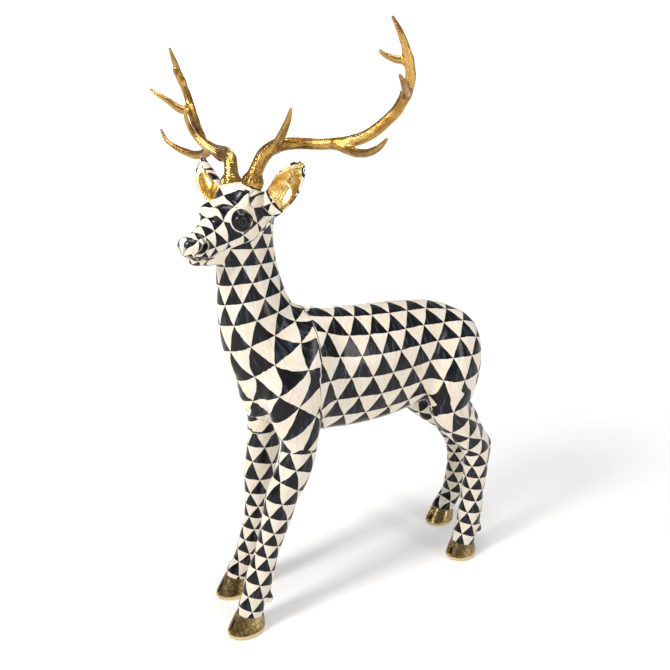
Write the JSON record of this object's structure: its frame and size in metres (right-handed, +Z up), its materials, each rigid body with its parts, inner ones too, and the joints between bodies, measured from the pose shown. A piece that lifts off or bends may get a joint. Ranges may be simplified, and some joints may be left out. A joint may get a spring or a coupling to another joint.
{
  "type": "stag statue",
  "caption": "Life-like standing stag figure with turned head, spreading antlers in two seats on the head, and four feet that it stands on by itself.",
  "frame": {"origin": "middle of the whole figure's footprint, on the ground", "axes": "+Z up, the nose towards -Y, the animal's own left towards +X"},
  "size_m": [0.7658, 0.9572, 1.4],
  "materials": {
    "enamel": "glossy hand-painted ivory and black",
    "gilding": "mottled gold leaf, satin"
  },
  "bodies": {
    "root": {"stag_body": "enamel", "left_antler": "gilding", "right_antler": "gilding"}
  },
  "joints": []
}
